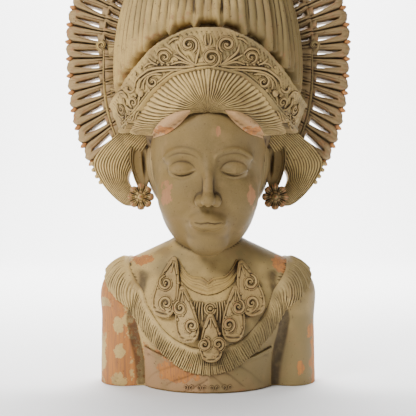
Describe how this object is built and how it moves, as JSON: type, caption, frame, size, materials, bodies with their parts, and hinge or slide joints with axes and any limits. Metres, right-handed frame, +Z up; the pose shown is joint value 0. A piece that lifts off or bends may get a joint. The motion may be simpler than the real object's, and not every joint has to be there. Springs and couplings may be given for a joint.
{
  "type": "carved wooden bust",
  "caption": "Carved wooden bust of a woman with a pierced fan crown, diadem, flower ear studs, pleated collar and scrolled pendants, cut flat below to stand on its underside.",
  "frame": {"origin": "in the flat underside, on the upright axis of the neck", "axes": "+Z up, -Y the way the face looks, +X to the right of a viewer who faces it"},
  "size_m": [0.3608, 0.2107, 0.6057],
  "materials": {
    "painted_wood": "worn matt paint over bare wood"
  },
  "bodies": {
    "root": {"bust": "painted_wood"}
  },
  "joints": []
}
